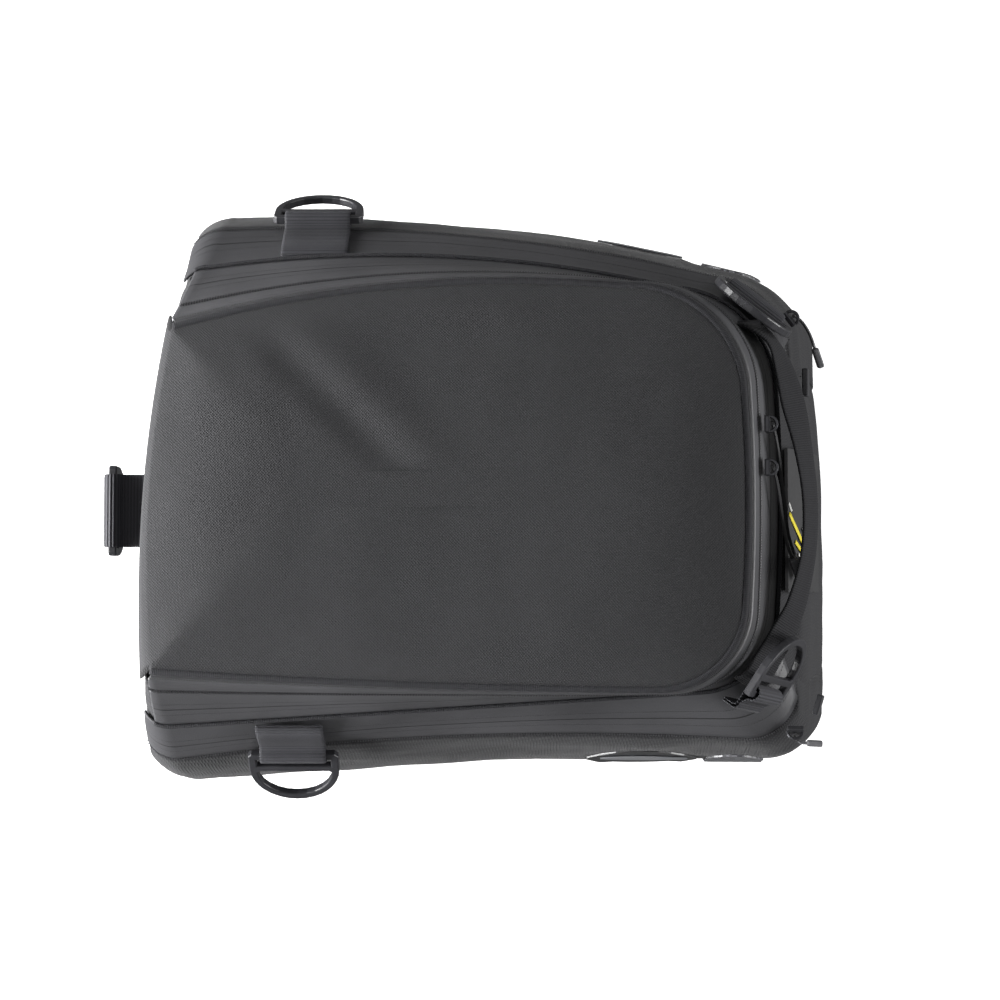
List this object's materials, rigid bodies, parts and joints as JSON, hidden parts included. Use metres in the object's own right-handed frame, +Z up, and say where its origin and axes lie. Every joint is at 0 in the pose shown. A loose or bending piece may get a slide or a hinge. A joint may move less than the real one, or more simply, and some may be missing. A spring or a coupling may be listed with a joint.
{
  "type": "motorcycle tail bag",
  "caption": "Soft motorcycle tail bag with a zipped hinged lid, zipped side pockets, webbing D-rings on the corners and front, and a rear carry handle.",
  "frame": {"origin": "bottom centre of the whole bag, on the plane that its base rests on", "axes": "+Z up, +X to the rear, where the carry handle is, +Y to the left side of the bag"},
  "size_m": [0.4248, 0.3591, 0.2],
  "materials": {
    "fabric": "matte woven polyester",
    "lid_fabric": "matte woven polyester, finer weave",
    "coated": "satin coated zip band",
    "lining": "plain grey lining",
    "foam": "padding foam",
    "board": "stiff board",
    "rubber": "soft moulded rubber",
    "webbing": "ribbed webbing",
    "plastic": "moulded, satin gloss",
    "metal": "dark plated zinc slider",
    "trim": "smooth film",
    "silver": "reflective film",
    "carbon": "carbon-look film"
  },
  "bodies": {
    "bag": {"body_shell_lower": "fabric", "body_shell_upper": "fabric", "side_pocket_left": "fabric", "side_pocket_right": "fabric", "body_piping": "fabric", "lid_hinge_fold": "lid_fabric", "lid_zip_band_lower": "coated", "pocket_band_left": "coated", "pocket_band_right": "coated", "lining": "lining", "base_board": "board", "base_panel": "rubber", "rear_label": "rubber", "handle_tab_left": "webbing", "handle_tab_right": "webbing", "corner_patch_left": "carbon", "corner_patch_right": "carbon", "reflector_base_left": "trim", "reflector_base_right": "trim", "reflector_strip_left": "silver", "reflector_strip_right": "silver", "zip_end_left": "plastic", "zip_end_right": "plastic", "ring_loop_front_left": "webbing", "ring_loop_front_right": "webbing", "ring_loop_front_centre": "webbing", "ring_loop_rear_left": "webbing", "ring_loop_rear_right": "webbing"},
    "lid": {"lid_panel": "lid_fabric", "lid_foam": "foam", "lid_lining": "lining", "lid_piping": "fabric", "lid_zip_band_upper": "coated"},
    "handle": {"carry_handle": "webbing"},
    "lid_slider_a": {"lid_slider_a": "metal"},
    "lid_slider_b": {"lid_slider_b": "metal"},
    "lid_pull_a": {"lid_pull_a": "rubber"},
    "lid_pull_b": {"lid_pull_b": "rubber"},
    "pocket_slider_left": {"pocket_slider_left": "metal"},
    "pocket_slider_right": {"pocket_slider_right": "metal"},
    "pocket_pull_left": {"pocket_pull_left": "rubber"},
    "pocket_pull_right": {"pocket_pull_right": "rubber"},
    "ring_front_left": {"d_ring_front_left": "plastic"},
    "ring_front_right": {"d_ring_front_right": "plastic"},
    "ring_front_centre": {"d_ring_front_centre": "plastic"},
    "ring_rear_left": {"d_ring_rear_left": "plastic"},
    "ring_rear_right": {"d_ring_rear_right": "plastic"}
  },
  "joints": [
    {"name": "lid_hinge", "type": "hinge", "parent": "bag", "child": "lid", "pos_m": [-0.1787, -0.0066, 0.187], "axis": [-0.057, -0.9984, 0], "range_deg": [0, 105]},
    {"name": "handle_swing", "type": "hinge", "parent": "bag", "child": "handle", "pos_m": [0.1538, -0.0066, 0.16], "axis": [0, 0.9998, 0.02], "range_deg": [-10, 0]},
    {"name": "lid_zip_a", "type": "slide", "parent": "bag", "child": "lid_slider_a", "axis": [0, 1, 0], "range_m": [0, 0.02]},
    {"name": "lid_zip_b", "type": "slide", "parent": "bag", "child": "lid_slider_b", "axis": [0, -1, 0], "range_m": [0, 0.003]},
    {"name": "lid_pull_a_swing", "type": "hinge", "parent": "lid_slider_a", "child": "lid_pull_a", "pos_m": [0.1612, 0.0354, 0.1766], "axis": [0.9404, 0, 0.3401], "range_deg": [-1, 1]},
    {"name": "lid_pull_b_swing", "type": "hinge", "parent": "lid_slider_b", "child": "lid_pull_b", "pos_m": [0.1612, 0.0114, 0.1766], "axis": [0.9404, 0, 0.3401], "range_deg": [0, 2]},
    {"name": "pocket_zip_left", "type": "slide", "parent": "bag", "child": "pocket_slider_left", "axis": [-0.6, 0.8, 0], "range_m": [0, 0.028]},
    {"name": "pocket_zip_right", "type": "slide", "parent": "bag", "child": "pocket_slider_right", "axis": [-0.9859, -0.1676, 0], "range_m": [0, 0.055]},
    {"name": "pocket_pull_left_swing", "type": "hinge", "parent": "pocket_slider_left", "child": "pocket_pull_left", "pos_m": [0.1814, 0.1025, 0.1221], "axis": [0.7209, 0.5767, 0.3845], "range_deg": [-12, 12]},
    {"name": "pocket_pull_right_swing", "type": "hinge", "parent": "pocket_slider_right", "child": "pocket_pull_right", "pos_m": [0.1811, -0.1397, 0.1223], "axis": [0.0989, -0.89, 0.445], "range_deg": [-12, 12]},
    {"name": "ring_front_left_swing", "type": "hinge", "parent": "bag", "child": "ring_front_left", "pos_m": [-0.0952, 0.1594, 0.1215], "axis": [1, 0, 0], "range_deg": [-5, 120]},
    {"name": "ring_front_right_swing", "type": "hinge", "parent": "bag", "child": "ring_front_right", "pos_m": [-0.1082, -0.1511, 0.1218], "axis": [-1, 0, 0], "range_deg": [-15, 110]},
    {"name": "ring_front_centre_swing", "type": "hinge", "parent": "bag", "child": "ring_front_centre", "pos_m": [-0.2072, -0.0116, 0.152], "axis": [0, 1, 0], "range_deg": [-10, 140]},
    {"name": "ring_rear_left_swing", "type": "hinge", "parent": "bag", "child": "ring_rear_left", "pos_m": [0.1554, 0.1057, 0.1442], "axis": [-0.7901, 0.613, 0], "range_deg": [0, 95]},
    {"name": "ring_rear_right_swing", "type": "hinge", "parent": "bag", "child": "ring_rear_right", "pos_m": [0.1578, -0.1146, 0.16], "axis": [0.4593, -0.1298, -0.8787], "range_deg": [0, 95]}
  ]
}
